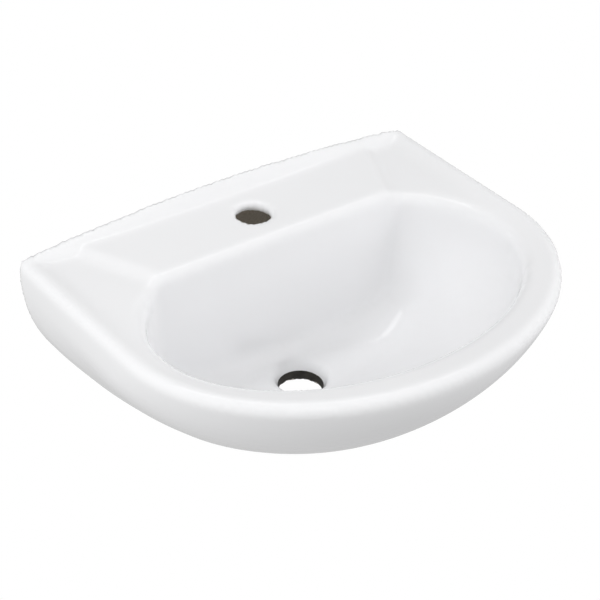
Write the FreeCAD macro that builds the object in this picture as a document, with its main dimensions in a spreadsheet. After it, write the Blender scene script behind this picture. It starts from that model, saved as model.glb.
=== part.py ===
import FreeCAD, Part
import math
import os
import Sketcher
from FreeCAD import Placement, Rotation, Vector

# A small wall-hung wash basin of glazed ceramic, with its wall-fixing set.
# The wall is the plane Y = 0, the user stands on the -Y side and +Z is up.
# The origin is on the wall, midway between the two wall bolts.

SIZES = [
    # The rim from above: straight sides that run into an elliptical front, and a dished top
    ("width", 450, "overall width"),
    ("reach", 362, "wall to the front of the rim"),
    ("rim_level", 62, "rim plane round the bowl above the wall bolts"),
    ("rim_dish", 4.5, "outer rim edge above the rim plane"),
    ("rim_straight", 190, "straight length of each side, from the wall"),
    ("rim_round", 8, "radius of the outer rim edge"),
    ("rim_thick", 20, "rim plane to the roof of the hollow underside"),
    # The outer skirt draws in under the rim, down to its open foot
    ("side_tuck", 93, "how far each side has drawn in at the foot"),
    ("side_power", 2.5, "how late the sides draw in"),
    ("front_tuck", 145, "how far the front has drawn in at the foot"),
    ("front_power", 1.71, "how late the front draws in"),
    ("foot_straight", 16, "straight length of each side at the foot"),
    ("skirt_wall", 9, "thickness of the skirt"),
    ("web_wall", 12, "thickness of the upright web on the wall"),
    # The bowl: an ellipse at the rim that shrinks to the waste hole
    ("rim_side", 34, "rim width at the sides"),
    ("rim_front", 42, "rim width at the front"),
    ("bowl_back", 55, "wall to the unseen back of the mouth ellipse"),
    ("bowl_drop", 137, "rim plane to the mouth of the waste hole"),
    ("bowl_wall", 9, "thickness of the bowl"),
    ("bowl_side_power", 0.32, "fullness of the bowl towards the sides"),
    ("bowl_front_power", 2.2, "fullness of the bowl towards the front"),
    ("bowl_back_power", 18, "how late the bowl leaves its back"),
    ("bowl_back_fullness", 9, "fullness of the bowl towards the wall"),
    ("back_wall_round", 18, "radius between the bowl and its back wall"),
    ("bowl_round", 8, "radius of the bowl's mouth and the deck's front edge"),
    # The raised tap deck between the bowl and the wall
    ("deck_front", 97, "wall to the front edge of the deck"),
    ("deck_rise", 6, "deck above the rim"),
    ("deck_thick", 9.5, "thickness of the deck"),
    ("deck_back_inset", 51, "side to the deck's top at the wall"),
    ("deck_corner", 3, "deck's sloping end to the corner of the bowl's mouth"),
    ("deck_slope", 2.2, "run of the deck's sloping ends for each mm of rise"),
    ("back_draft", 4, "lean of the bowl's back wall"),
    ("under_deck_inset", 85, "side to the space under the deck"),
    # The arched upstand along the wall
    ("arch_rise", 19.2, "top of the arch above the rim"),
    ("shoulder_inset", 16, "side to the end of the arch's round"),
    ("shoulder_rise", 7.8, "arch above the rim where its round ends"),
    ("arch_inset", 3, "side to the end of the upstand"),
    ("arch_end_rise", 5.3, "upstand above the rim at its ends"),
    ("upstand_land", 4, "thickness of the upstand's top edge"),
    ("upstand_foot", 15, "wall to the upstand's foot"),
    ("upstand_sink", 1, "upstand's foot below the top of the deck"),
    ("upstand_foot_inset", 60, "side to the end of the upstand's foot"),
    ("upstand_end_run", 17, "run of the upstand's sloping ends"),
    ("upstand_root", 5, "depth of the upstand's root in the rim"),
    # The two holes
    ("tap_bore", 35, "diameter of the tap hole"),
    ("tap_back", 52.5, "wall to the tap hole's axis"),
    ("waste_bore", 45, "diameter of the waste hole"),
    ("waste_mouth", 54, "diameter of the waste hole's mouth"),
    ("waste_mouth_drop", 9, "depth of the sloping mouth"),
    ("waste_length", 12, "length of the waste hole below its mouth, down to the foot"),
    ("waste_shelf", 8, "foot of the bowl's back wall to the waste hole's mouth"),
    ("boss", 78, "diameter of the boss round the waste hole"),
    # The wall-fixing set
    ("bolt_spacing", 200, "between the two wall bolts"),
    ("bolt_thick", 10, "crest diameter of the screw in the wall"),
    ("bolt_shank", 9, "diameter of the shank, which is the machine thread's pitch diameter"),
    ("bolt_in_wall", 60, "length of each bolt behind the wall plane"),
    ("bolt_point", 10, "length of the screw point"),
    ("bolt_past_nut", 5, "bolt length in front of the nut"),
    ("bolt_chamfer", 1, "chamfer of the bolt's free end"),
    ("sleeve_bore_gap", 0.7, "gap between the sleeve's bore and the shank, all round"),
    ("sleeve_outer", 18, "outer diameter of the plastic sleeve"),
    ("sleeve_gap", 0.25, "gap between sleeve and ceramic, all round"),
    ("sleeve_length", 6, "length of the sleeve in the web, from its front"),
    ("flange_outer", 30, "diameter of the sleeve's flange"),
    ("flange_thick", 3, "thickness of the sleeve's flange"),
    ("washer_gap", 0.75, "gap between the washer's bore and the shank, all round"),
    ("washer_outer", 24, "outer diameter of the washer"),
    ("washer_thick", 2, "thickness of the washer"),
    ("nut_gap", 0.1, "gap between the nut's bore and the shank, all round"),
    ("nut_flats", 17, "nut size across its flats"),
    ("nut_thick", 8, "thickness of the nut"),
    ("nut_bevel", 1.2, "height of the bevel on the nut's corners"),
]

# Counts of sections, how far a cutting form runs past what it cuts, the room that a half space fills,
# the step that keeps joined forms from sharing a plane, and the tolerance of a test of place
SKIRT_LEVELS = 6
BOWL_LEVELS = 10
PAST = 10
ROOM = 600
STEP = 2
NEAR = 0.1

doc = FreeCAD.newDocument("basin")
sheet = doc.addObject("Spreadsheet::Sheet", "Sizes")
for row, (alias, number, meaning) in enumerate(SIZES, start=1):
    sheet.set(f"A{row}", alias)
    sheet.set(f"B{row}", str(number))
    sheet.set(f"C{row}", meaning)
    sheet.setAlias(f"B{row}", alias)
doc.recompute()


def worth(text):
    """The number that an expression on the sheet has now."""
    return float(sheet.evalExpression(text))


def bind(thing, **ties):
    """Ties properties of a thing to the sheet; a double underscore stands for a dot."""
    for name, text in ties.items():
        thing.setExpression(name.replace("__", "."), str(text))
    return thing


def pin(sketch, name, kind, *where, text):
    """Adds a named dimension to a sketch and ties it to the sheet."""
    number = sketch.addConstraint(Sketcher.Constraint(kind, *where, worth(text)))
    sketch.renameConstraint(number, name)
    sketch.setExpression(f"Constraints.{name}", text)


def fix(sketch, *kinds):
    for kind, *where in kinds:
        sketch.addConstraint(Sketcher.Constraint(kind, *where))


def ring(sketch, points):
    """Closes a run of straight lines and names nothing: the dimensions follow."""
    for first, second in zip(points, points[1:] + points[:1]):
        sketch.addGeometry(Part.LineSegment(Vector(*first, 0), Vector(*second, 0)))
    for line in range(len(points)):
        fix(sketch, ("Coincident", line, 2, (line + 1) % len(points), 1))


def loft(name, sections, ruled=False):
    made = doc.addObject("Part::Loft", name)
    made.Sections = sections
    made.Solid = True
    made.Ruled = ruled
    return made


def boolean(kind, name, first, *others):
    made = doc.addObject(kind, name)
    if kind == "Part::Cut":
        made.Base = first
        made.Tool = others[0]
    else:
        made.Shapes = [first, *others]
    return made


def rod(name, diameter, length, x=0, y=0, z=0, along_y=False):
    """A round bar along +Z, or along +Y, from its end at x, y, z."""
    made = doc.addObject("Part::Cylinder", name)
    if along_y:
        made.Placement = Placement(Vector(), Rotation(Vector(1, 0, 0), -90))
    bind(made, Radius=f"({diameter}) / 2", Height=length)
    return bind(made, Placement__Base__x=x, Placement__Base__y=y, Placement__Base__z=z)


def block(name, half, near, far, low, high):
    """A box that is symmetric in X, between two distances from the wall and two levels."""
    made = doc.addObject("Part::Box", name)
    bind(made, Length=f"2 * ({half})", Width=f"({far}) - ({near})", Height=f"({high}) - ({low})")
    bind(made, Placement__Base__x=f"-({half})", Placement__Base__y=f"-({far})")
    return bind(made, Placement__Base__z=low)


# Outer form and its hollow: D-shaped level sections, straight at the wall, elliptical in front


def d_section(name, level, half, reach, straight, back):
    """A line on the wall side, two straight sides and half an ellipse in front."""
    sketch = doc.addObject("Sketcher::SketchObject", name)
    bind(sketch, Placement__Base__z=level)
    half_now, reach_now, straight_now, back_now = (worth(text) for text in (half, reach, straight, back))
    centre = Vector(0, -straight_now, 0)
    tip = Vector(0, -reach_now, 0)
    right = Vector(half_now, -straight_now, 0)
    left = Vector(-half_now, -straight_now, 0)
    right_back = Vector(half_now, -back_now, 0)
    left_back = Vector(-half_now, -back_now, 0)
    wide = half_now >= reach_now - straight_now
    ellipse = Part.Ellipse(left, tip, centre) if wide else Part.Ellipse(tip, right, centre)
    start = 0 if wide else -math.pi / 2
    sketch.addGeometry(Part.LineSegment(left_back, right_back))
    sketch.addGeometry(Part.LineSegment(right_back, right))
    sketch.addGeometry(Part.ArcOfEllipse(ellipse, start, start + math.pi))
    sketch.addGeometry(Part.LineSegment(left, left_back))
    sketch.exposeInternalGeometry(2)
    across, along = (4, 5) if wide else (5, 4)
    fix(
        sketch,
        ("Coincident", 0, 2, 1, 1),
        ("Coincident", 1, 2, 2, 2),
        ("Coincident", 3, 1, 2, 1),
        ("Coincident", 3, 2, 0, 1),
        ("Vertical", 1),
        ("Vertical", 3),
        ("Symmetric", 0, 1, 0, 2, -2),
        ("Horizontal", across),
        ("PointOnObject", 2, 1, across),
        ("PointOnObject", 2, 2, across),
    )
    pin(sketch, "half", "DistanceX", -1, 1, 0, 2, text=half)
    pin(sketch, "straight", "DistanceY", 1, 2, -1, 1, text=straight)
    pin(sketch, "reach", "DistanceY", along, 1, -1, 1, text=reach)
    pin(sketch, "back", "DistanceY", 0, 2, -1, 1, text=back)
    return sketch


def skirt_section(name, share, level, inset, back):
    """A section of the skirt at a share of its drop, drawn in by an inset."""
    half = f"Sizes.width / 2 - Sizes.side_tuck * ({share}) ^ Sizes.side_power - {inset}"
    reach = f"Sizes.reach - Sizes.front_tuck * ({share}) ^ Sizes.front_power - {inset}"
    straight = f"Sizes.rim_straight - (Sizes.rim_straight - Sizes.foot_straight) * ({share})"
    straight = f"max({straight}; Sizes.web_wall + {2 * STEP})"
    return d_section(name, level, half, reach, straight, back)


skirt_drop = "(Sizes.bowl_drop + Sizes.waste_mouth_drop + Sizes.waste_length)"
crest = "(Sizes.rim_level + Sizes.rim_dish)"
crest_drop = f"({skirt_drop} + Sizes.rim_dish)"
outer_sections = []
for step in range(SKIRT_LEVELS):
    share = step / (SKIRT_LEVELS - 1)
    level = f"{crest} - {crest_drop} * {share}"
    outer_sections.append(skirt_section(f"outer_{step}", share, level, "0", f"-{PAST}"))
outer = loft("outer", outer_sections)

hollow_sections = []
roof_share = f"(Sizes.rim_thick + Sizes.rim_dish) / {crest_drop}"
past_share = f"(1 + {PAST} / {crest_drop} - {roof_share})"
for step in range(SKIRT_LEVELS):
    share = f"{roof_share} + {past_share} * {step / (SKIRT_LEVELS - 1)}"
    level = f"{crest} - {crest_drop} * ({share})"
    wall = f"Sizes.skirt_wall * (1 + {share})"
    hollow_sections.append(skirt_section(f"hollow_{step}", share, level, wall, "Sizes.web_wall"))
hollow = loft("hollow", hollow_sections)
doc.recompute()

rim = worth("Sizes.rim_level")


def round_edges(name, base, *kinds):
    """Rounds the edges of a form; each kind is a radius and a test of an edge's limits."""
    chosen = []
    for number, edge in enumerate(base.Shape.Edges, start=1):
        box = edge.optimalBoundingBox(True, False)
        for radius, is_kind in kinds:
            if is_kind(box):
                chosen.append((number, worth(radius), worth(radius)))
    made = doc.addObject("Part::Fillet", name)
    made.Base = base
    made.Edges = chosen
    doc.recompute()
    return made


def is_rim(box):
    return box.ZMin > worth(crest) - NEAR and box.YMin < 0


outer_rounded = round_edges("outer_rounded", outer, ("Sizes.rim_round", is_rim))

# Dish of the rim: its top slopes from the rounded outer edge down to a level ring round the bowl
# The form that cuts it runs on as far again above the outer edge


def dish_section(name, level, rise):
    """The dish at a level, where a rise of 0 is the ring round the bowl and 1 is the outer edge."""
    ring_inset = f"(Sizes.bowl_round + {STEP})"
    edge_inset = f"(Sizes.rim_round + {STEP})"
    side = f"(Sizes.rim_side - {ring_inset})"
    front = f"(Sizes.rim_front - {ring_inset})"
    half = f"Sizes.width / 2 - {side} - ({edge_inset} - {side}) * {rise}"
    reach = f"Sizes.reach - {front} - ({edge_inset} - {front}) * {rise}"
    return d_section(name, level, half, reach, "Sizes.rim_straight", f"-{PAST + STEP}")


dish_low = dish_section("dish_low", "Sizes.rim_level", 0)
dish_high = dish_section("dish_high", f"{crest} + Sizes.rim_dish", 2)
dish = loft("dish", [dish_low, dish_high], ruled=True)
dished = boolean("Part::Cut", "dished", outer_rounded, dish)

# Bowl: ellipses that shrink from the rim to the waste hole, cut off straight by the back wall


waste_mouth = "Sizes.waste_mouth / 2"
waste_back = f"(Sizes.deck_front + Sizes.back_draft + Sizes.waste_shelf + {waste_mouth})"


def bowl_section(name, share, level, wall):
    """A level ellipse of the bowl at a share of its drop, swelled by a wall thickness."""
    side_run = f"(Sizes.width / 2 - Sizes.rim_side - {waste_mouth})"
    side = f"({waste_mouth} + {side_run} * (1 - {share} ^ 2) ^ Sizes.bowl_side_power)"
    front_run = f"(Sizes.reach - Sizes.rim_front - {waste_back} - {waste_mouth})"
    front = f"({waste_mouth} + {front_run} * (1 - {share} ^ Sizes.bowl_front_power))"
    back_bow = f"(1 - {share} ^ Sizes.bowl_back_power) ^ Sizes.bowl_back_fullness"
    back_run = f"({waste_back} - {waste_mouth} - Sizes.bowl_back)"
    back = f"({waste_mouth} + {back_run} * {back_bow})"
    depth = f"min({side}; ({front} + {back}) / 2)"
    made = doc.addObject("Part::Ellipse", name)
    bind(made, MajorRadius=f"{side} + {wall}", MinorRadius=f"{depth} + {wall}")
    bind(made, Placement__Base__y=f"-{waste_back} - ({front} - {back}) / 2")
    return bind(made, Placement__Base__z=level)


def front_side(name, shift, top):
    """All the room in front of the bowl's leaning back wall, moved towards the wall by a shift."""
    sketch = doc.addObject("Sketcher::SketchObject", f"{name}_outline")
    sketch.Placement = Placement(Vector(), Rotation(Vector(1, 1, 1), 120))
    bind(sketch, Placement__Base__z="Sizes.rim_level")
    near = f"Sizes.deck_front - ({shift})"
    low = f"{skirt_drop} + {PAST}"
    near_now, low_now, top_now = worth(near), worth(low), worth(top)
    foot_now = near_now + worth("Sizes.back_draft")
    ring(sketch, [(-ROOM, -low_now), (-foot_now, -low_now), (-near_now, top_now), (-ROOM, top_now)])
    fix(sketch, ("Horizontal", 0), ("Horizontal", 2), ("Vertical", 3))
    pin(sketch, "near", "DistanceX", 1, 2, -1, 1, text=near)
    pin(sketch, "lean", "DistanceX", 0, 2, 1, 2, text="Sizes.back_draft")
    pin(sketch, "low", "DistanceY", 0, 2, -1, 1, text=low)
    pin(sketch, "height", "DistanceY", 0, 2, 1, 2, text=f"{low} + ({top})")
    pin(sketch, "room", "DistanceX", 3, 1, -1, 1, text=str(ROOM))
    made = doc.addObject("Part::Extrusion", name)
    made.Base = sketch
    made.DirMode = "Normal"
    made.Solid = True
    made.Symmetric = True
    made.LengthFwd = 2 * ROOM
    return made


def bowl_form(name, wall, top_level, limit):
    sections = [bowl_section(f"{name}_mouth", 0, top_level, wall)]
    for step in range(BOWL_LEVELS):
        share = math.sin(math.pi / 2 * step / (BOWL_LEVELS - 1))
        level = f"Sizes.rim_level - (Sizes.bowl_drop + {wall}) * {share}"
        sections.append(bowl_section(f"{name}_{step}", share, level, wall))
    return boolean("Part::MultiCommon", f"{name}_form", loft(f"{name}_loft", sections), limit)


above_deck = f"Sizes.deck_rise + {PAST}"
before_back_wall = front_side("before_back_wall", "0", above_deck)
with_back_wall = front_side("with_back_wall", "Sizes.bowl_wall", f"-{STEP}")
bowl_sharp = bowl_form("bowl_space", "0", f"Sizes.rim_level + {above_deck}", before_back_wall)
bowl_body = bowl_form("bowl_body", "Sizes.bowl_wall", f"Sizes.rim_level + {PAST}", with_back_wall)
doc.recompute()
back_wall = -worth("Sizes.deck_front")
lean = worth("Sizes.back_draft")


def between(low, high, first, last):
    return low > first - NEAR and high < last + NEAR


def is_crease(box):
    on_wall = between(box.YMin, box.YMax, back_wall - lean, back_wall)
    return on_wall and box.ZMin < rim - NEAR and box.ZMax > rim


bowl_space = round_edges("bowl_space", bowl_sharp, ("Sizes.back_wall_round", is_crease))

# Tap deck: a low platform with a straight front and sloping ends, just inside the bowl's corners

mouth_front = "(Sizes.reach - Sizes.rim_front)"
mouth_depth = f"({mouth_front} - Sizes.bowl_back)"
corner_place = f"({mouth_front} + Sizes.bowl_back - 2 * Sizes.deck_front) / {mouth_depth}"
corner_half = f"(Sizes.width / 2 - Sizes.rim_side) * sqrt(1 - ({corner_place}) ^ 2)"


def deck_section(name, level, spread):
    sketch = doc.addObject("Sketcher::SketchObject", name)
    bind(sketch, Placement__Base__z=level)
    back_half = f"Sizes.width / 2 - Sizes.deck_back_inset + {spread}"
    front_half = f"{corner_half} - Sizes.deck_corner - Sizes.deck_slope * Sizes.deck_rise + {spread}"
    front = f"Sizes.deck_front + {PAST}"
    wide, half, ahead, behind = worth(back_half), worth(front_half), worth(front), PAST / 2
    ring(sketch, [(-wide, behind), (-half, -ahead), (half, -ahead), (wide, behind)])
    fix(sketch, ("Symmetric", 0, 1, 3, 1, -2), ("Symmetric", 1, 1, 2, 1, -2))
    pin(sketch, "back", "DistanceY", -1, 1, 3, 1, text=str(PAST / 2))
    pin(sketch, "back_half", "DistanceX", -1, 1, 3, 1, text=back_half)
    pin(sketch, "front_half", "DistanceX", -1, 1, 2, 1, text=front_half)
    pin(sketch, "front", "DistanceY", 2, 1, -1, 1, text=front)
    return sketch


deck_top = "Sizes.rim_level + Sizes.deck_rise"
deck_foot = f"{deck_top} - Sizes.deck_thick"
deck_low = deck_section("deck_low", deck_foot, "Sizes.deck_thick * Sizes.deck_slope")
deck_high = deck_section("deck_high", deck_top, "0")
deck = loft("deck", [deck_low, deck_high], ruled=True)

# Arched upstand: a thin edge on the wall that slopes down to the deck


def wall_sketch(name, distance):
    """A sketch parallel to the wall, x to the right and y up from the rim plane."""
    sketch = doc.addObject("Sketcher::SketchObject", name)
    sketch.Placement = Placement(Vector(), Rotation(Vector(1, 0, 0), 90))
    return bind(sketch, Placement__Base__y=f"-({distance})", Placement__Base__z="Sizes.rim_level")


def arch_section(name, distance):
    """The upstand across its width: a shallow arch with a bevel and a short upright at each end."""
    sketch = wall_sketch(name, distance)
    arch_half = "Sizes.width / 2 - Sizes.arch_inset"
    shoulder_half = "(Sizes.width / 2 - Sizes.shoulder_inset)"
    half, root = worth(arch_half), worth("Sizes.upstand_root")
    end, top = worth("Sizes.arch_end_rise"), worth("Sizes.arch_rise")
    shoulder, height = worth(shoulder_half), worth("Sizes.shoulder_rise")
    right = [Vector(half, -root, 0), Vector(half, end, 0), Vector(shoulder, height, 0)]
    left = [Vector(-point.x, point.y, 0) for point in reversed(right)]
    sketch.addGeometry(Part.LineSegment(left[2], right[0]))
    sketch.addGeometry(Part.LineSegment(right[0], right[1]))
    sketch.addGeometry(Part.LineSegment(right[1], right[2]))
    sketch.addGeometry(Part.Arc(right[2], Vector(0, top, 0), left[0]))
    sketch.addGeometry(Part.LineSegment(left[0], left[1]))
    sketch.addGeometry(Part.LineSegment(left[1], left[2]))
    for line in range(6):
        fix(sketch, ("Coincident", line, 2, (line + 1) % 6, 1))
    for first, second in ((0, 1), (1, 5), (2, 4)):
        fix(sketch, ("Symmetric", first, 2 if first else 1, second, 1, -2))
    pin(sketch, "half", "DistanceX", -1, 1, 1, 1, text=arch_half)
    pin(sketch, "end_half", "DistanceX", -1, 1, 1, 2, text=arch_half)
    pin(sketch, "shoulder_half", "DistanceX", -1, 1, 2, 2, text=shoulder_half)
    pin(sketch, "root", "DistanceY", 1, 1, -1, 1, text="Sizes.upstand_root")
    pin(sketch, "end_rise", "DistanceY", -1, 1, 1, 2, text="Sizes.arch_end_rise")
    pin(sketch, "shoulder_rise", "DistanceY", -1, 1, 2, 2, text="Sizes.shoulder_rise")
    bow = "(Sizes.arch_rise - Sizes.shoulder_rise)"
    pin(sketch, "radius", "Radius", 3, text=f"({shoulder_half} ^ 2 + {bow} ^ 2) / (2 * {bow})")
    return sketch


def upstand_foot_section(name):
    """The upstand where it meets the deck, with the same run of edges as the arch."""
    sketch = wall_sketch(name, "Sizes.upstand_foot")
    foot_half = "Sizes.width / 2 - Sizes.upstand_foot_inset"
    low_half = f"{foot_half} + Sizes.upstand_end_run"
    rise = "Sizes.deck_rise - Sizes.upstand_sink"
    wide, half = worth(low_half), worth(foot_half)
    root, top = worth("Sizes.upstand_root"), worth(rise)
    sink = worth("Sizes.upstand_sink")
    ring(sketch, [(-wide, -root), (wide, -root), (wide, -sink), (half, top), (-half, top), (-wide, -sink)])
    for first, second in ((0, 1), (2, 5), (3, 4)):
        fix(sketch, ("Symmetric", first, 1, second, 1, -2))
    pin(sketch, "low_half", "DistanceX", -1, 1, 1, 1, text=low_half)
    pin(sketch, "end_half", "DistanceX", -1, 1, 2, 1, text=low_half)
    pin(sketch, "half", "DistanceX", -1, 1, 3, 1, text=foot_half)
    pin(sketch, "root", "DistanceY", 1, 1, -1, 1, text="Sizes.upstand_root")
    pin(sketch, "sink", "DistanceY", 2, 1, -1, 1, text="Sizes.upstand_sink")
    pin(sketch, "rise", "DistanceY", -1, 1, 3, 1, text=rise)
    return sketch


arch_back = arch_section("arch_back", f"-{PAST}")
arch_front = arch_section("arch_front", "Sizes.upstand_land")
upstand_foot = upstand_foot_section("upstand_foot")
upstand = loft("upstand", [arch_back, arch_front, upstand_foot], ruled=True)

# One casting: the pieces of the form are joined, then the bowl, holes and spaces are taken out

foot = f"Sizes.rim_level - {skirt_drop}"
mouth_level = "Sizes.rim_level - Sizes.bowl_drop"
boss_height = "Sizes.waste_mouth_drop + Sizes.waste_length"
boss = rod("boss_form", "Sizes.boss", boss_height, y=f"-{waste_back}", z=foot)
behind_wall = block("behind_wall", ROOM, -ROOM, 0, f"-{ROOM}", ROOM)
block_form = boolean("Part::MultiFuse", "block_form", dished, deck, upstand)
block_cut = boolean("Part::Cut", "block_cut", block_form, behind_wall)
shell = boolean("Part::Cut", "shell", block_cut, hollow)
casting = boolean("Part::MultiFuse", "casting", shell, bowl_body, boss)

under_deck = block(
    "under_deck",
    "Sizes.width / 2 - Sizes.under_deck_inset",
    "Sizes.web_wall",
    "Sizes.deck_front - Sizes.bowl_wall",
    f"Sizes.rim_level - Sizes.rim_thick - {PAST}",
    deck_foot,
)
tap_hole = rod(
    "tap_hole",
    "Sizes.tap_bore",
    f"Sizes.deck_thick + {2 * PAST}",
    y="-Sizes.tap_back",
    z=f"{deck_foot} - {PAST}",
)
waste_hole = rod(
    "waste_hole",
    "Sizes.waste_bore",
    f"{boss_height} + {PAST}",
    y=f"-{waste_back}",
    z=f"{foot} - {PAST}",
)
waste_funnel = doc.addObject("Part::Cone", "waste_funnel")
bind(waste_funnel, Radius1="Sizes.waste_bore / 2", Radius2=waste_mouth)
bind(waste_funnel, Height="Sizes.waste_mouth_drop", Placement__Base__y=f"-{waste_back}")
bind(waste_funnel, Placement__Base__z=f"{mouth_level} - Sizes.waste_mouth_drop")
sleeve_hole = "Sizes.sleeve_outer + 2 * Sizes.sleeve_gap"
bolt_holes = [
    rod(
        f"{side}_bolt_hole",
        sleeve_hole,
        f"Sizes.web_wall + {2 * PAST}",
        x=f"{sign} * Sizes.bolt_spacing / 2",
        y=f"-Sizes.web_wall - {PAST}",
        along_y=True,
    )
    for side, sign in (("left", -1), ("right", 1))
]
spaces = boolean("Part::MultiFuse", "spaces", bowl_space, waste_funnel, waste_hole)
openings = boolean("Part::MultiFuse", "openings", under_deck, tap_hole, *bolt_holes)
with_bowl = boolean("Part::Cut", "with_bowl", casting, spaces)
with_openings = boolean("Part::Cut", "with_openings", with_bowl, openings)
doc.recompute()

# Soft edges: the bowl's mouth and the deck's front

mouth_half = worth("Sizes.width / 2 - Sizes.rim_side")
deck_now = worth(deck_top)


def is_mouth(box):
    on_rim = between(box.ZMin, box.ZMax, rim, rim)
    in_front = box.YMax < back_wall + lean
    return on_rim and in_front and between(box.XMin, box.XMax, -mouth_half, mouth_half)


def is_deck_front(box):
    on_wall = between(box.YMin, box.YMax, back_wall - lean, back_wall + lean)
    return on_wall and between(box.ZMin, box.ZMax, rim, deck_now)


def is_soft(box):
    return is_mouth(box) or is_deck_front(box)


basin = round_edges("basin", with_openings, ("Sizes.bowl_round", is_soft))
subparts = [basin]

# Wall-fixing set: a bolt, a flanged sleeve, a washer and a nut on each side


def turned(label, x, outline):
    """A body turned about the bolt's axis from an outline of (radius, distance from the wall) texts."""
    body = doc.addObject("PartDesign::Body", label)
    bind(body, Placement__Base__x=x)
    sketch = body.newObject("Sketcher::SketchObject", f"{label}_outline")
    plane = next(item for item in body.Origin.OriginFeatures if item.Role == "XY_Plane")
    sketch.AttachmentSupport = [(plane, "")]
    sketch.MapMode = "FlatFace"
    ring(sketch, [(worth(radius), -worth(distance)) for radius, distance in outline])
    for point, (radius, distance) in enumerate(outline):
        if worth(radius) == 0:
            fix(sketch, ("PointOnObject", point, 1, -2))
        else:
            pin(sketch, f"radius_{point}", "DistanceX", -1, 1, point, 1, text=radius)
        if worth(distance) == 0:
            fix(sketch, ("PointOnObject", point, 1, -1))
        elif worth(distance) > 0:
            pin(sketch, f"distance_{point}", "DistanceY", point, 1, -1, 1, text=distance)
        else:
            pin(sketch, f"distance_{point}", "DistanceY", -1, 1, point, 1, text=f"-({distance})")
    turn = body.newObject("PartDesign::Revolution", f"{label}_turn")
    turn.Profile = sketch
    turn.ReferenceAxis = (sketch, ["V_Axis"])
    turn.Angle = 360
    return body


sleeve_end = "Sizes.web_wall - Sizes.sleeve_length"
flange_face = "Sizes.web_wall + Sizes.flange_thick"
washer_face = f"{flange_face} + Sizes.washer_thick"
nut_face = f"{washer_face} + Sizes.nut_thick"
bolt_end = f"{nut_face} + Sizes.bolt_past_nut"
bolt_radius = "Sizes.bolt_thick / 2"
shank_radius = "Sizes.bolt_shank / 2"
sleeve_bore = f"{shank_radius} + Sizes.sleeve_bore_gap"
washer_bore = f"{shank_radius} + Sizes.washer_gap"
nut_bore = f"{shank_radius} + Sizes.nut_gap"


def hex_nut(label, x):
    """A hexagon nut with a bevelled free face, standing on the washer."""
    body = doc.addObject("PartDesign::Body", label)
    bind(body, Placement__Base__x=x)
    planes = {item.Role: item for item in body.Origin.OriginFeatures if hasattr(item, "Role")}
    hexagon = body.newObject("Sketcher::SketchObject", f"{label}_hexagon")
    hexagon.AttachmentSupport = [(planes["XZ_Plane"], "")]
    hexagon.MapMode = "FlatFace"
    bind(hexagon, AttachmentOffset__Base__z=washer_face)
    across = worth("Sizes.nut_flats") / math.sqrt(3)
    turns = [math.radians(60 * corner) for corner in range(6)]
    ring(hexagon, [(across * math.cos(turn), across * math.sin(turn)) for turn in turns])
    hexagon.addGeometry(Part.Circle(Vector(), Vector(0, 0, 1), across), True)
    for line in range(6):
        fix(hexagon, ("PointOnObject", line, 1, 6))
    for line in range(1, 6):
        fix(hexagon, ("Equal", 0, line))
    fix(hexagon, ("Coincident", 6, 3, -1, 1), ("PointOnObject", 0, 1, -1))
    pin(hexagon, "corner", "Radius", 6, text="Sizes.nut_flats / sqrt(3)")
    hexagon.addGeometry(Part.Circle(Vector(), Vector(0, 0, 1), worth(nut_bore)))
    fix(hexagon, ("Coincident", 7, 3, -1, 1))
    pin(hexagon, "bore", "Radius", 7, text=nut_bore)
    pad = body.newObject("PartDesign::Pad", f"{label}_pad")
    pad.Profile = hexagon
    bind(pad, Length="Sizes.nut_thick")
    doc.recompute()
    full = pad.Shape.Volume
    bevel = body.newObject("Sketcher::SketchObject", f"{label}_bevel_outline")
    bevel.AttachmentSupport = [(planes["XY_Plane"], "")]
    bevel.MapMode = "FlatFace"
    inner = "Sizes.nut_flats / 2"
    outer_edge = "Sizes.nut_flats / sqrt(3) + Sizes.nut_bevel"
    depth = f"2 * Sizes.nut_bevel * ({outer_edge} - {inner}) / (Sizes.nut_flats * (2 / sqrt(3) - 1))"
    top = -worth(nut_face)
    ring(bevel, [(worth(inner), top), (worth(outer_edge), top + worth(depth)), (worth(outer_edge), top)])
    fix(bevel, ("Horizontal", 2), ("Vertical", 1))
    pin(bevel, "inner", "DistanceX", -1, 1, 0, 1, text=inner)
    pin(bevel, "outer_edge", "DistanceX", -1, 1, 1, 1, text=outer_edge)
    pin(bevel, "depth", "DistanceY", 1, 2, 1, 1, text=depth)
    pin(bevel, "face", "DistanceY", 0, 1, -1, 1, text=nut_face)
    groove = body.newObject("PartDesign::Groove", f"{label}_bevel")
    groove.Profile = bevel
    groove.ReferenceAxis = (bevel, ["V_Axis"])
    groove.Angle = 360
    doc.recompute()
    if not 0 < full - groove.Shape.Volume < full / 4:
        raise RuntimeError(f"{label} is bevelled wrongly")
    return body


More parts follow.
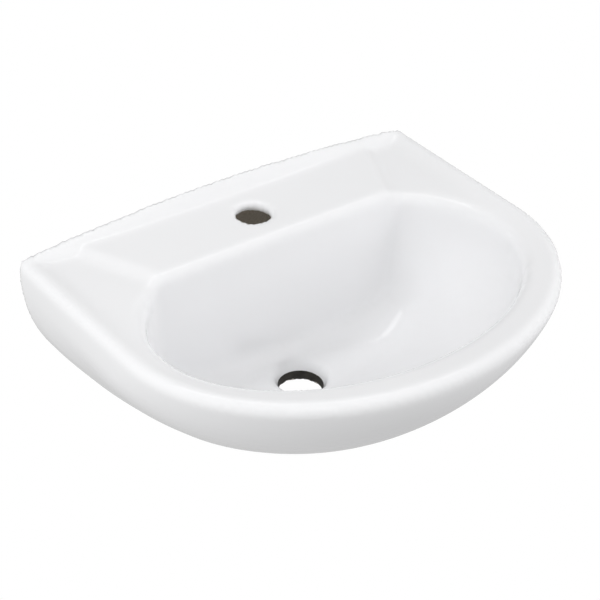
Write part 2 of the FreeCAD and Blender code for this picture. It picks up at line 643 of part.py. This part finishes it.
for side, sign in (("left", -1), ("right", 1)):
    x = f"{sign} * Sizes.bolt_spacing / 2"
    bolt = turned(
        f"{side}_wall_bolt",
        x,
        [
            ("0", "-Sizes.bolt_in_wall"),
            ("0", bolt_end),
            (f"{shank_radius} - Sizes.bolt_chamfer", bolt_end),
            (shank_radius, f"{bolt_end} - Sizes.bolt_chamfer"),
            (shank_radius, "0"),
            (bolt_radius, "0"),
            (bolt_radius, "-(Sizes.bolt_in_wall - Sizes.bolt_point)"),
        ],
    )
    sleeve = turned(
        f"{side}_fixing_sleeve",
        x,
        [
            (sleeve_bore, sleeve_end),
            (sleeve_bore, flange_face),
            ("Sizes.flange_outer / 2", flange_face),
            ("Sizes.flange_outer / 2", "Sizes.web_wall"),
            ("Sizes.sleeve_outer / 2", "Sizes.web_wall"),
            ("Sizes.sleeve_outer / 2", sleeve_end),
        ],
    )
    washer = turned(
        f"{side}_washer",
        x,
        [
            (washer_bore, flange_face),
            (washer_bore, washer_face),
            ("Sizes.washer_outer / 2", washer_face),
            ("Sizes.washer_outer / 2", flange_face),
        ],
    )
    nut = hex_nut(f"{side}_nut", x)
    subparts += [bolt, sleeve, washer, nut]
doc.recompute()

for item in doc.Objects:
    if "Invalid" in item.State or "Error" in item.State:
        raise RuntimeError(f"{item.Label} failed: {item.State}")
os.makedirs("parts", exist_ok=True)
for item in subparts:
    shape = item.Shape
    if shape.isNull() or not shape.isValid():
        raise RuntimeError(f"{item.Label} has no valid shape")
    print(item.Label, len(shape.Solids), "solid", round(shape.Volume), "mm3", shape.BoundBox)
    shape.exportStep(f"parts/{item.Label}.step")
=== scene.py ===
import math

import bpy
from mathutils import Euler, Matrix, Vector


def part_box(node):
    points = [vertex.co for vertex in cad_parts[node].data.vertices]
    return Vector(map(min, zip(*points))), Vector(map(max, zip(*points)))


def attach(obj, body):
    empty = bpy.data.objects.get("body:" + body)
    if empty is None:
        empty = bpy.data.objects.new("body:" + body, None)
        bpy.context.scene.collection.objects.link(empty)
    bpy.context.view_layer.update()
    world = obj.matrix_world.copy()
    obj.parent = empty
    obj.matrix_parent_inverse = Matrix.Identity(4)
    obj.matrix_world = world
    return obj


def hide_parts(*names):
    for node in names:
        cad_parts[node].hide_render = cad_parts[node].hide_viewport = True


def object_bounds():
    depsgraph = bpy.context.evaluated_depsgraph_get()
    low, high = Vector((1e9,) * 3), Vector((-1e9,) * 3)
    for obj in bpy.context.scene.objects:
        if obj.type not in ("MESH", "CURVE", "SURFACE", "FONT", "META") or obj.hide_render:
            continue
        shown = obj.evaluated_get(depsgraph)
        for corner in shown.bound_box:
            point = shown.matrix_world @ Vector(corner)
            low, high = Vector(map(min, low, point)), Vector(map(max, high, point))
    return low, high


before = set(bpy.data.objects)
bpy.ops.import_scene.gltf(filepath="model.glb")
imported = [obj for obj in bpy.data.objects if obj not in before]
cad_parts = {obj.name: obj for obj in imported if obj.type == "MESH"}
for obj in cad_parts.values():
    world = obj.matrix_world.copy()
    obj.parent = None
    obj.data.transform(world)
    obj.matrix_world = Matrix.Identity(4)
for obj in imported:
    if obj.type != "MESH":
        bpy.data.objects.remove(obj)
cad_low, cad_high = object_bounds()
bpy.ops.object.select_all(action="DESELECT")

# Basin: one slip-cast piece of fired clay under a thick white glaze, which rounds every edge.
# The hollow underside, the back that lies on the wall and the foot that stood in the kiln are bare clay.
# It is turned askew while its mesh is made new, because a flat face along the cells comes out stepped.
WALL = 0
MERGE_DISTANCE = 0.00001
ASKEW = Euler((0.45, 0.55, 0.65)).to_matrix().to_4x4()
FINE_CELL = 0.002
LAST_CELL = 0.0036
SMOOTHING = 0.5
EDGE_ROUNDS = 5
MOUTH_ROUNDS = 50
LAST_ROUNDS = 1
BOWL_CENTRE = Vector((0, -0.19, 0))
MOUTH_LOW, MOUTH_HIGH, MOUTH_BACK = 0.025, 0.0632, -0.108
MOUTH_LEAST_UP, MOUTH_MOST_OUT = -0.05, 0.2
GLAZE_THICK = 0.0005
TUCK_Y, TUCK_Z = -0.130, -0.035
TUCK_HALF_LENGTH, TUCK_HALF_HEIGHT = 0.11, 0.07
TUCK_INSIDE, TUCK_BLEND, TUCK_DEPTH = 0.13, 0.04, 0.0065
BARE_DEPTH = 0.0004
BARE_ROUGHNESS = 0.85
BORE_SHIFT = (0, 0.136, 0)
BORE_RADIUS, BORE_TOP = 0.0236, -0.0838
RAY_START = 0.0015
LEVEL, UP = Vector((1, 1, 0)), Vector((0, 0, 1))
GLAZE_IOR = 1.52
GLAZE_CLOUDS = {
    "Scale": 5, "Detail": 2, "Low": 0.35, "High": 0.65,
    "First": (0.900, 0.902, 0.912, 1), "Second": (0.885, 0.887, 0.898, 1),
}
GLAZE_GLOSS = {"Scale": 30, "Detail": 2, "Smooth": 0.05, "Rough": 0.10}
GLAZE_WAVES = {"Scale": 45, "Detail": 1, "Strength": 0.04, "Depth": 0.002}
CLAY_GRAIN = {
    "Scale": 420, "Detail": 5, "Low": 0.3, "High": 0.7, "Smooth": 0.75, "Rough": 0.95,
    "First": (0.54, 0.50, 0.44, 1), "Second": (0.66, 0.62, 0.56, 1),
}
CLAY_PORES = {"Scale": 900, "Detail": 3, "Strength": 0.2, "Depth": 0.0004}
# Painted shade: the near-black colours of the waste bore stand in for the shadow inside the hole.
BORE_PAINTED_SHADE = {
    "Scale": 120, "Detail": 3, "Low": 0.3, "High": 0.7,
    "First": (0.020, 0.018, 0.015, 1), "Second": (0.045, 0.040, 0.034, 1),
}
MIX_SHARE, MIX_UNDER, MIX_OVER, MIX_RESULT = 0, 6, 7, 2


def alone(piece):
    """Makes one piece the only one selected."""
    bpy.ops.object.select_all(action="DESELECT")
    piece.select_set(True)
    bpy.context.view_layer.objects.active = piece


def edit(piece, operator, **values):
    """Runs one edit-mode operator on the whole of a piece."""
    alone(piece)
    bpy.ops.object.mode_set(mode="EDIT")
    bpy.ops.mesh.select_all(action="SELECT")
    operator(**values)
    bpy.ops.object.mode_set(mode="OBJECT")


def modify(piece, kind, **values):
    """Adds a modifier and applies it."""
    alone(piece)
    modifier = piece.modifiers.new(kind.lower(), kind)
    for name, value in values.items():
        setattr(modifier, name, value)
    bpy.ops.object.modifier_apply(modifier=modifier.name)


def fill(tree, made, inputs):
    """Links a node's inputs to sockets, or sets them to plain values."""
    for name, value in inputs.items():
        if isinstance(value, bpy.types.NodeSocket):
            tree.links.new(value, made.inputs[name])
        else:
            made.inputs[name].default_value = value


def node(tree, kind, inputs, **settings):
    """Adds a node with its settings and inputs, and gives its outputs."""
    made = tree.nodes.new(kind)
    for name, value in settings.items():
        setattr(made, name, value)
    fill(tree, made, inputs)
    return made.outputs


def reckon(tree, kind, first, second):
    """What a Math node makes of a socket and another socket or number."""
    return node(tree, "ShaderNodeMath", {0: first, 1: second}, operation=kind)["Value"]


def painted(tree, mask, under, over):
    """One colour over another, as far as a mask goes from 0 to 1."""
    inputs = {MIX_SHARE: mask, MIX_UNDER: under, MIX_OVER: over}
    return node(tree, "ShaderNodeMix", inputs, data_type="RGBA")[MIX_RESULT]


def new_group(name, inputs, outputs):
    """A shader group with its named sockets, what it is given and what it puts out."""
    group = bpy.data.node_groups.new(name, "ShaderNodeTree")
    for side, sockets in (("INPUT", inputs), ("OUTPUT", outputs)):
        for socket, kind in sockets.items():
            group.interface.new_socket(socket, in_out=side, socket_type=kind)
    return group, group.nodes.new("NodeGroupInput").outputs, group.nodes.new("NodeGroupOutput")


def grouped_noise(group, given):
    """A noise in the piece's own coordinates, with the scale and detail that a group is given."""
    place = node(group, "ShaderNodeTexCoord", {})["Object"]
    inputs = {"Vector": place, "Scale": given["Scale"], "Detail": given["Detail"]}
    return node(group, "ShaderNodeTexNoise", inputs)["Fac"]


def new_material(name):
    """A material with its tree and its shader."""
    material = bpy.data.materials.new(name)
    material.use_nodes = True
    return material, material.node_tree, material.node_tree.nodes["Principled BSDF"]


# Mottle: patches of two colours, and of two degrees of gloss
NUMBER, COLOUR, DIRECTION = "NodeSocketFloat", "NodeSocketColor", "NodeSocketVector"
mottle, given, result = new_group(
    "mottle",
    {"Scale": NUMBER, "Detail": NUMBER, "Low": NUMBER, "High": NUMBER,
     "First": COLOUR, "Second": COLOUR, "Smooth": NUMBER, "Rough": NUMBER},
    {"Color": COLOUR, "Roughness": NUMBER})
patches = grouped_noise(mottle, given)
colour_range = {"Value": patches, "From Min": given["Low"], "From Max": given["High"]}
gloss_range = {"Value": patches, "To Min": given["Smooth"], "To Max": given["Rough"]}
share = node(mottle, "ShaderNodeMapRange", colour_range)["Result"]
fill(mottle, result, {
    "Color": painted(mottle, share, given["First"], given["Second"]),
    "Roughness": node(mottle, "ShaderNodeMapRange", gloss_range)["Result"],
})

# Relief: a surface that rises and falls a little
relief, given, result = new_group(
    "relief",
    {"Scale": NUMBER, "Detail": NUMBER, "Strength": NUMBER, "Depth": NUMBER},
    {"Normal": DIRECTION})
height = grouped_noise(relief, given)
bump_inputs = {"Strength": given["Strength"], "Distance": given["Depth"], "Height": height}
fill(relief, result, {"Normal": node(relief, "ShaderNodeBump", bump_inputs)["Normal"]})

# Mesh of the basin: rounded edges, a softer mouth, a coat of glaze and lower sides that draw in
basin = bpy.data.objects.new("glazed_basin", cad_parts["basin"].data.copy())
bpy.context.scene.collection.objects.link(basin)
edit(basin, bpy.ops.mesh.remove_doubles, threshold=MERGE_DISTANCE)
basin.data.transform(ASKEW)
modify(basin, "REMESH", mode="VOXEL", voxel_size=FINE_CELL)
modify(basin, "SMOOTH", factor=SMOOTHING, iterations=EDGE_ROUNDS)
basin.data.transform(ASKEW.inverted())
mouth = basin.vertex_groups.new(name="mouth")
for vertex in basin.data.vertices:
    outward = (vertex.co - BOWL_CENTRE).to_2d().normalized().dot(vertex.normal.to_2d())
    near_mouth = MOUTH_LOW < vertex.co.z < MOUTH_HIGH and vertex.co.y < MOUTH_BACK
    if near_mouth and vertex.normal.z > MOUTH_LEAST_UP and outward < MOUTH_MOST_OUT:
        mouth.add([vertex.index], 1, "REPLACE")
modify(basin, "SMOOTH", factor=SMOOTHING, iterations=MOUTH_ROUNDS, vertex_group="mouth")
basin.data.transform(ASKEW)
modify(basin, "REMESH", mode="VOXEL", voxel_size=LAST_CELL)
modify(basin, "SMOOTH", factor=SMOOTHING, iterations=LAST_ROUNDS)
modify(basin, "DISPLACE", strength=GLAZE_THICK, mid_level=0)
basin.data.transform(ASKEW.inverted())
for vertex in basin.data.vertices:
    along = max(0, 1 - ((vertex.co.y - TUCK_Y) / TUCK_HALF_LENGTH) ** 2)
    upright = max(0, 1 - ((vertex.co.z - TUCK_Z) / TUCK_HALF_HEIGHT) ** 2)
    outer = min(1, max(0, (abs(vertex.co.x) - TUCK_INSIDE) / TUCK_BLEND))
    vertex.co.x -= math.copysign(TUCK_DEPTH * (along * upright) ** 2 * outer, vertex.co.x)
    vertex.co.y = min(vertex.co.y, WALL)
    vertex.co.z = max(vertex.co.z, cad_low[2])
basin.vertex_groups.clear()
alone(basin)
bpy.ops.object.shade_smooth()

# Glaze: white and glossy, but bare clay on the back and the foot, and a dull, near-black painted shade in
# the waste bore
glaze, tree, shader = new_material("white_glaze")
place = node(tree, "ShaderNodeTexCoord", {})["Object"]
axes = node(tree, "ShaderNodeSeparateXYZ", {"Vector": place})
from_bore = node(tree, "ShaderNodeVectorMath", {0: place, 1: LEVEL, 2: BORE_SHIFT}, operation="MULTIPLY_ADD")
reach = node(tree, "ShaderNodeVectorMath", {0: from_bore["Vector"]}, operation="LENGTH")["Value"]
near_axis = reckon(tree, "LESS_THAN", reach, BORE_RADIUS)
in_bore = reckon(tree, "MULTIPLY", near_axis, reckon(tree, "LESS_THAN", axes["Z"], BORE_TOP))
on_back = reckon(tree, "GREATER_THAN", axes["Y"], WALL - BARE_DEPTH)
on_foot = reckon(tree, "LESS_THAN", axes["Z"], cad_low[2] + BARE_DEPTH)
bare = reckon(tree, "MAXIMUM", on_back, on_foot)
white = node(tree, "ShaderNodeGroup", GLAZE_CLOUDS, node_tree=mottle)["Color"]
grain = node(tree, "ShaderNodeGroup", CLAY_GRAIN, node_tree=mottle)["Color"]
# Painted shade: near black in the waste bore, where the hole's wall lies in shadow.
painted_bore_shade = node(tree, "ShaderNodeGroup", BORE_PAINTED_SHADE, node_tree=mottle)["Color"]
gloss = node(tree, "ShaderNodeGroup", GLAZE_GLOSS, node_tree=mottle)["Roughness"]
dull = reckon(tree, "MULTIPLY", reckon(tree, "MAXIMUM", bare, in_bore), BARE_ROUGHNESS)
fill(tree, shader, {
    "Base Color": painted(tree, in_bore, painted(tree, bare, white, grain), painted_bore_shade),
    "Roughness": reckon(tree, "MAXIMUM", gloss, dull),
    "Normal": node(tree, "ShaderNodeGroup", GLAZE_WAVES, node_tree=relief)["Normal"],
    "IOR": GLAZE_IOR,
})


def mottled_material(name, mottling, surface):
    """A material whose colour and gloss change in patches, over a fine relief."""
    material, tree, shader = new_material(name)
    look = node(tree, "ShaderNodeGroup", mottling, node_tree=mottle)
    raised = node(tree, "ShaderNodeGroup", surface, node_tree=relief)
    fill(tree, shader, {"Base Color": look["Color"], "Roughness": look["Roughness"]})
    fill(tree, shader, {"Normal": raised["Normal"]})
    return material, shader


# Bare clay in the hollow: every face that looks at another face both upwards and sideways
clay, shader = mottled_material("bare_clay", CLAY_GRAIN, CLAY_PORES)
basin.data.materials.clear()
basin.data.materials.append(glaze)
basin.data.materials.append(clay)
bpy.context.view_layer.update()
for face in basin.data.polygons:
    start = face.center + face.normal * RAY_START
    sideways = (face.normal * LEVEL).normalized()
    inside = basin.ray_cast(start, UP)[0] and basin.ray_cast(start, sideways)[0]
    face.material_index = 1 if inside else 0
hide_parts("basin")
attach(basin, "root")

# Wall bolts: two zinc-plated steel screw bolts, rolled with a coarse wood thread that holds in the wall plug
# and a fine machine thread for the nut, with a short plain collar between the two.
nut_low, nut_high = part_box("right_nut")
bolt_low, bolt_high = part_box("left_wall_bolt")
BOLT_PLACE = (nut_low[0] + nut_high[0]) / 2
BOLT_FRONT, BOLT_POINT = bolt_low[1], bolt_high[1]
FINE_PITCH, FINE_ROOT, FINE_CREST = 0.0015, 0.00415, 0.0048
COARSE_PITCH, COARSE_ROOT, COARSE_CREST = 0.004, 0.0035, 0.005
RIDGE_FOOT, RIDGE_TOP = 0.2, 0.45
SPARE_TURNS = 2
COLLAR_RADIUS, COLLAR_FRONT, COLLAR_BACK = 0.0045, -0.002, 0.001
POINT_LENGTH = 0.010
POINT_BLUNTNESS = 0.05
STEPS_ROUND = 20
CREASE = math.radians(35)
SEED_SIZE = 0.001
ZINC_BLOOM = {
    "Scale": 500, "Detail": 4, "Low": 0.35, "High": 0.65, "Smooth": 0.26, "Rough": 0.44,
    "First": (0.52, 0.53, 0.55, 1), "Second": (0.66, 0.67, 0.69, 1),
}
ZINC_PITS = {"Scale": 2500, "Detail": 2, "Strength": 0.1, "Depth": 0.0001}


def drawn(name, points):
    """An outline drawn from one vertex, point after point."""
    bpy.ops.object.select_all(action="DESELECT")
    bpy.ops.mesh.primitive_plane_add(size=SEED_SIZE)
    piece = bpy.context.active_object
    piece.name = name
    bpy.ops.object.mode_set(mode="EDIT")
    bpy.ops.mesh.select_all(action="SELECT")
    bpy.ops.mesh.merge(type="CENTER")
    bpy.ops.transform.translate(value=(points[0][0], points[0][1], 0))
    for first, second in zip(points, points[1:]):
        step = (second[0] - first[0], second[1] - first[1], 0)
        bpy.ops.mesh.extrude_region_move(TRANSFORM_OT_translate={"value": step})
    bpy.ops.object.mode_set(mode="OBJECT")
    return piece


def trimmed(piece, place, keep_front):
    """Cuts a bolt flat across its axis and closes the cut."""
    edit(piece, bpy.ops.mesh.bisect, plane_co=(0, place, 0), plane_no=(0, 1, 0), use_fill=True,
         clear_outer=keep_front, clear_inner=not keep_front)


def thread(name, root, crest, pitch, front, back):
    """A thread: one ridge of its outline wound along the bolt, cut flat at both ends."""
    start = front - pitch
    ridge = [(root, 0), (root, RIDGE_FOOT), (crest, RIDGE_TOP),
             (crest, 1 - RIDGE_TOP), (root, 1 - RIDGE_FOOT), (root, 1)]
    piece = drawn(name, [(radius, start + share * pitch) for radius, share in ridge])
    turns = math.ceil((back - front) / pitch) + SPARE_TURNS
    modify(piece, "SCREW", axis="Y", steps=STEPS_ROUND, render_steps=STEPS_ROUND, screw_offset=pitch,
           iterations=turns, use_merge_vertices=True, merge_threshold=MERGE_DISTANCE)
    trimmed(piece, front, False)
    trimmed(piece, back, True)
    return piece


fine_thread = thread("fine_thread", FINE_ROOT, FINE_CREST, FINE_PITCH, BOLT_FRONT, COLLAR_FRONT)
bolt = thread("left_screw_bolt", COARSE_ROOT, COARSE_CREST, COARSE_PITCH, WALL, BOLT_POINT)
for vertex in bolt.data.vertices:
    taper = min(1, (BOLT_POINT - vertex.co.y) / POINT_LENGTH + POINT_BLUNTNESS)
    vertex.co.x *= taper
    vertex.co.z *= taper
collar_outline = [(0, COLLAR_FRONT), (COLLAR_RADIUS, COLLAR_FRONT),
                  (COLLAR_RADIUS, COLLAR_BACK), (0, COLLAR_BACK)]
collar = drawn("collar", collar_outline)
modify(collar, "SCREW", axis="Y", steps=STEPS_ROUND, render_steps=STEPS_ROUND, use_merge_vertices=True)
alone(bolt)
fine_thread.select_set(True)
collar.select_set(True)
bpy.ops.object.join()
edit(bolt, bpy.ops.mesh.normals_make_consistent, inside=False)
bpy.ops.object.shade_smooth_by_angle(angle=CREASE)

zinc, shader = mottled_material("zinc_plating", ZINC_BLOOM, ZINC_PITS)
shader.inputs["Metallic"].default_value = 1
bolt.data.materials.clear()
bolt.data.materials.append(zinc)
other = bpy.data.objects.new("right_screw_bolt", bolt.data.copy())
bpy.context.scene.collection.objects.link(other)
for piece, side, replaced in ((bolt, -1, "left_wall_bolt"), (other, 1, "right_wall_bolt")):
    piece.data.transform(Matrix.Translation((side * BOLT_PLACE, 0, 0)))
    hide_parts(replaced)
    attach(piece, "root")

# Nuts and washers: cold-formed hexagon nuts and stamped flat washers of steel with the bolts' zinc plating.
# Each nut draws its washer against the flange of the sleeve behind it.
for name in ("left_nut", "right_nut", "left_washer", "right_washer"):
    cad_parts[name].material_slots[0].material = zinc

# Fixing sleeves: one on each bolt, moulded in off-white plastic with a flange under the washer.
# They keep the steel off the ceramic.
PLASTIC_CLOUDS = {
    "Scale": 90, "Detail": 3, "Low": 0.35, "High": 0.65, "Smooth": 0.40, "Rough": 0.55,
    "First": (0.76, 0.76, 0.73, 1), "Second": (0.82, 0.82, 0.80, 1),
}
PLASTIC_GRAIN = {"Scale": 1800, "Detail": 2, "Strength": 0.12, "Depth": 0.0001}
plastic, shader = mottled_material("moulded_plastic", PLASTIC_CLOUDS, PLASTIC_GRAIN)
for name in ("left_fixing_sleeve", "right_fixing_sleeve"):
    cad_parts[name].material_slots[0].material = plastic

# Floor: a wide sheet of white paper, so far below the basin that no shadow shows on it.
# It glows, more for the camera than for the basin, and that keeps the ground of the picture plain white.
FLOOR_LEVEL = -0.6
FLOOR_SIZE = 30
FLOOR_SEEN, FLOOR_LIGHT = 1.0, 0.57
bpy.ops.mesh.primitive_plane_add(size=FLOOR_SIZE, location=(0, 0, FLOOR_LEVEL))
floor = bpy.context.active_object
floor.name = "floor"
paper, tree, shader = new_material("white_paper")
tree.nodes.remove(shader)
seen = node(tree, "ShaderNodeEmission", {"Strength": FLOOR_SEEN})["Emission"]
light = node(tree, "ShaderNodeEmission", {"Strength": FLOOR_LIGHT})["Emission"]
by_camera = node(tree, "ShaderNodeLightPath", {})["Is Camera Ray"]
glow = node(tree, "ShaderNodeMixShader", {0: by_camera, 1: light, 2: seen})["Shader"]
fill(tree, tree.nodes["Material Output"], {"Surface": glow})
floor.data.materials.append(paper)

# Studio light: a dim white tent all round, soft boxes that leave no mirror image in the glaze,
# and one narrow strip overhead that draws the thin bright lines along its edges.
TENT_COLOUR = (1, 1, 1, 1)
TENT_SEEN, TENT_LIGHT = 1, 0.375
BOX_AIM = (0, -0.2, 0)
world = bpy.data.worlds.new("white_tent")
bpy.context.scene.world = world
world.use_nodes = True
tree = world.node_tree
by_camera = node(tree, "ShaderNodeLightPath", {})["Is Camera Ray"]
tent_range = {"Value": by_camera, "To Min": TENT_LIGHT, "To Max": TENT_SEEN}
strength = node(tree, "ShaderNodeMapRange", tent_range)["Result"]
fill(tree, tree.nodes["Background"], {"Color": TENT_COLOUR, "Strength": strength})


def soft_box(name, place, wide, deep, power, aim=BOX_AIM, mirrored=False):
    """A flat lamp that faces a point and shows, or doesn't show, in the glaze."""
    light = bpy.data.lights.new(name, "AREA")
    light.shape = "RECTANGLE"
    light.size = wide
    light.size_y = deep
    light.energy = power
    lamp = bpy.data.objects.new(name, light)
    bpy.context.scene.collection.objects.link(lamp)
    lamp.location = place
    lamp.rotation_euler = (Vector(aim) - Vector(place)).to_track_quat("-Z", "Y").to_euler()
    lamp.visible_glossy = mirrored


soft_box("left_box", place=(-2.0, -0.3, 1.6), wide=1.5, deep=1.5, power=19.5)
soft_box("low_left_box", place=(-2.2, -0.4, 0.3), wide=1.5, deep=1.0, power=12.5)
soft_box("right_front_box", place=(1.6, -1.6, 0.9), wide=1.2, deep=1.2, power=16)
soft_box("low_right_box", place=(2.2, -0.4, 0.3), wide=1.5, deep=1.0, power=10)
soft_box("high_front_box", place=(0.0, -1.3, 2.0), wide=1.2, deep=1.2, power=11.5)
soft_box("back_box", place=(0.0, 1.6, 1.5), wide=1.2, deep=1.2, power=4)
soft_box("overhead_strip", place=(0.3, 0.25, 1.5), wide=1.6, deep=0.2, power=2.2,
         aim=(0.3, 0.25, 0), mirrored=True)

# Camera: a long lens that looks down on the basin from the left of its front, rolled a little.
# Its angles are in degrees. The tones go to the picture as they are, with no film curve.
CAMERA_PLACE = (-0.8735, -1.2476, 0.9790)
CAMERA_TURN, CAMERA_TILT, CAMERA_ROLL = -38.004, 55.707, 2.2
SENSOR_WIDTH, LENS = 36, 109.6
camera = bpy.data.objects.new("camera", bpy.data.cameras.new("camera"))
bpy.context.scene.collection.objects.link(camera)
turn = Matrix.Rotation(math.radians(CAMERA_TURN), 4, "Z")
tilt = Matrix.Rotation(math.radians(CAMERA_TILT), 4, "X")
roll = Matrix.Rotation(math.radians(CAMERA_ROLL), 4, "Z")
camera.matrix_world = Matrix.Translation(CAMERA_PLACE) @ turn @ tilt @ roll
camera.data.sensor_width = SENSOR_WIDTH
camera.data.lens = LENS
bpy.context.scene.camera = camera
bpy.context.scene.view_settings.view_transform = "Standard"
